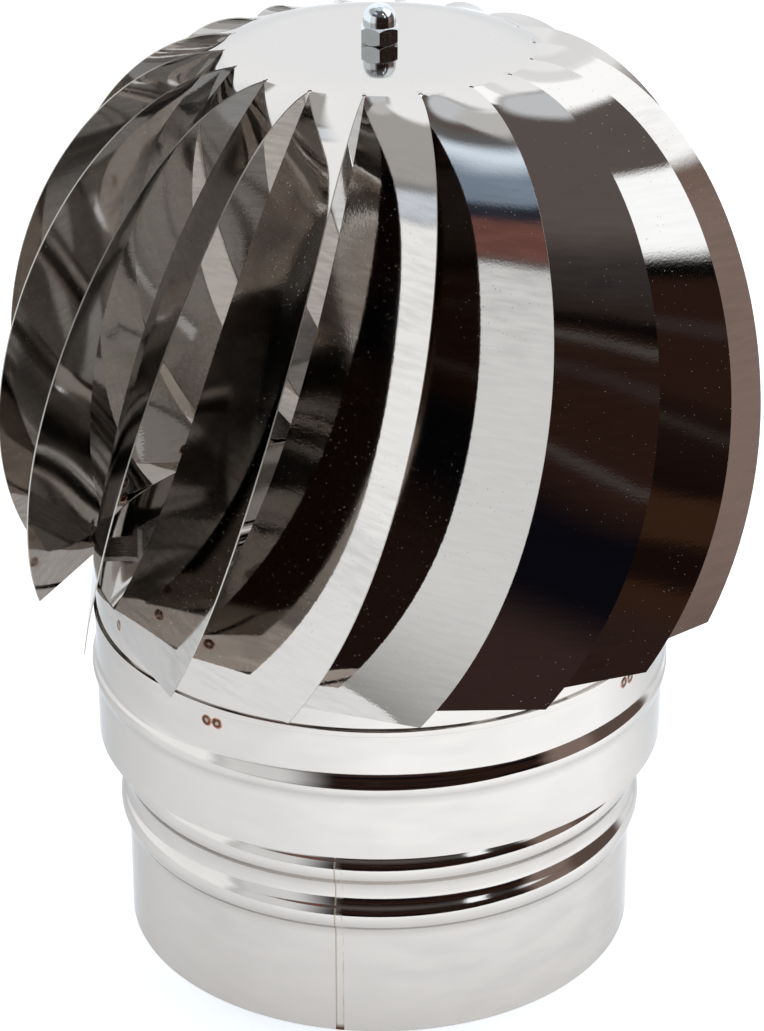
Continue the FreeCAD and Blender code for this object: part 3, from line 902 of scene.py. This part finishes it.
# Share of the floor's glow that reflections show: from and to in metres, then the shares there. It holds
# painted glow inside the pipe's ring, where the pipe shuts the floor in, and painted shade near the pipe and
# towards the left; it also drops in a band behind the object.
PAINTED_GLOW_IN_PIPE = (0.099, 0.101, 0.7, 1.0)
PAINTED_SHADE_LEFT = (-0.30, 0.02, 0.45, 0.90)
PAINTED_SHADE_NEAR_PIPE = (0.10, 0.28, 0.72, 1.0)
FRONT_TO_BACK = (-0.05, 0.20, 1.0, 0.3)
BACK_TO_FAR = (0.28, 0.36, 0.3, 1.0)


def white_floor():
    mesh = bpy.data.meshes.new("floor")
    corners = [(FLOOR_LEFT, FLOOR_FRONT, 0), (FLOOR_RIGHT, FLOOR_FRONT, 0),
               (FLOOR_RIGHT, FLOOR_BACK, 0), (FLOOR_LEFT, FLOOR_BACK, 0)]
    mesh.from_pydata(corners, [], [(0, 1, 2, 3)])
    floor = bpy.data.objects.new("floor", mesh)
    bpy.context.scene.collection.objects.link(floor)
    material, tree, shader = new_material("floor_paper")
    shader.inputs["Base Color"].default_value = FLOOR_COLOUR
    shader.inputs["Roughness"].default_value = FLOOR_ROUGHNESS
    path = tree.nodes.new("ShaderNodeLightPath")
    coordinates = scaled_coordinates(tree, (1.0, 1.0, 0.0))
    split = tree.nodes.new("ShaderNodeSeparateXYZ")
    link(tree, coordinates, split.inputs[0])
    distance = tree.nodes.new("ShaderNodeVectorMath")
    distance.operation = "LENGTH"
    link(tree, coordinates, distance.inputs[0])
    # Painted light and shade in the floor's glow for reflections: 0.7 of it inside the pipe's ring, less near
    # the pipe and towards the left
    pipe_ring_painted_glow = mapped(tree, distance.outputs["Value"], *PAINTED_GLOW_IN_PIPE)
    left_painted_shade = mapped(tree, split.outputs["X"], *PAINTED_SHADE_LEFT)
    near_pipe_painted_shade = mapped(tree, distance.outputs["Value"], *PAINTED_SHADE_NEAR_PIPE)
    front_to_back = mapped(tree, split.outputs["Y"], *FRONT_TO_BACK)
    back_to_far = mapped(tree, split.outputs["Y"], *BACK_TO_FAR)
    behind = math_node(tree, "MAXIMUM", front_to_back, back_to_far)
    mirrored = path.outputs["Is Glossy Ray"]
    for share in (pipe_ring_painted_glow, left_painted_shade, near_pipe_painted_shade, behind):
        mirrored = math_node(tree, "MULTIPLY", mirrored, share)
    seen = math_node(tree, "MULTIPLY_ADD", path.outputs["Is Camera Ray"], FLOOR_GLOW, mirrored)
    shader.inputs["Emission Color"].default_value = FLOOR_TINT
    link(tree, seen, shader.inputs["Emission Strength"])
    mesh.materials.append(material)


# Camera: the photograph's place, about 1.2 m from the object's middle, looking down
CAMERA_PLACE = (0.0, -1.0862, 0.6988)
CAMERA_PITCH = 26.0
CAMERA_LENS, CAMERA_SENSOR = 109.8, 36.0
CAMERA_SHIFT = 0.0024
CAMERA_NEAR, CAMERA_FAR = 0.05, 50.0


def photo_camera():
    data = bpy.data.cameras.new("camera")
    data.lens = CAMERA_LENS
    data.sensor_width = CAMERA_SENSOR
    data.shift_x = CAMERA_SHIFT
    data.clip_start = CAMERA_NEAR
    data.clip_end = CAMERA_FAR
    camera = bpy.data.objects.new("camera", data)
    camera.location = CAMERA_PLACE
    camera.rotation_euler = (math.radians(90.0 - CAMERA_PITCH), 0.0, 0.0)
    bpy.context.scene.collection.objects.link(camera)
    bpy.context.scene.camera = camera


studio_world()
white_floor()
photo_camera()
bpy.context.scene.view_settings.view_transform = "Standard"
